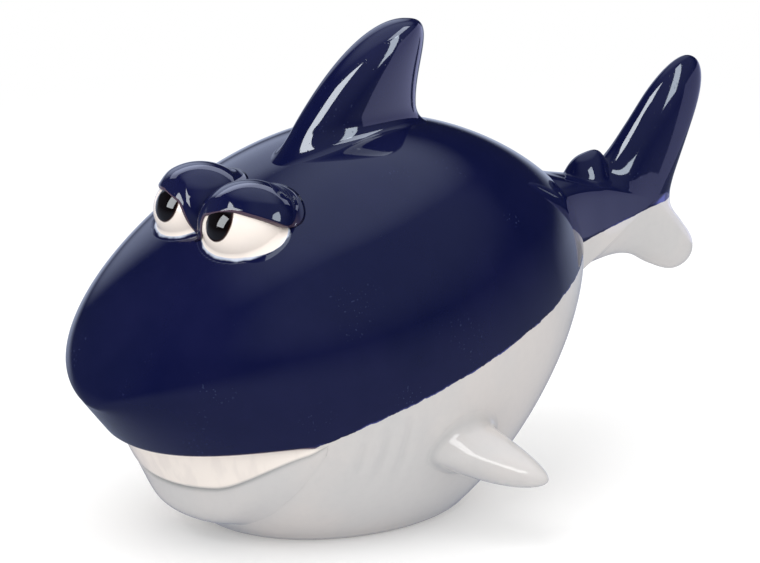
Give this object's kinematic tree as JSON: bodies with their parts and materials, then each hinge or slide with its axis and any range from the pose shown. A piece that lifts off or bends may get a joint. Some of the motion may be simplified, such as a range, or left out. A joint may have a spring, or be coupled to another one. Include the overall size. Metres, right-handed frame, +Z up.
{
  "type": "shark figurine",
  "caption": "Glossy glazed ceramic shark figurine in navy and white, with a plump hollow body, half-closed eyes, a wide smiling mouth, fins and an upturned tail, standing on a flat foot.",
  "frame": {"origin": "centre of the footprint of the whole figurine, on the surface that it stands on", "axes": "+Z up, -Y toward the snout, +Y toward the tail, +X toward the shark's left side"},
  "size_m": [0.0646, 0.0995, 0.0629],
  "materials": {
    "body_glaze": "glossy navy glaze over white, with a hand-painted edge above the belly",
    "tail_glaze": "glossy navy glaze above, glossy white glaze on the lower lobe",
    "navy_glaze": "glossy navy glaze",
    "belly_glaze": "glossy greyish white glaze",
    "teeth_glaze": "glossy cream glaze",
    "eye_glaze": "glossy cream-white glaze with painted dark pupils"
  },
  "bodies": {
    "root": {"body": "body_glaze", "lower_jaw": "belly_glaze", "teeth_strip": "teeth_glaze", "dorsal_fin": "navy_glaze", "second_dorsal_fin": "navy_glaze", "tail_fin": "tail_glaze", "left_pectoral_fin": "belly_glaze", "right_pectoral_fin": "belly_glaze", "left_eyeball": "eye_glaze", "right_eyeball": "eye_glaze", "left_eyelid": "navy_glaze", "right_eyelid": "navy_glaze"}
  },
  "joints": []
}
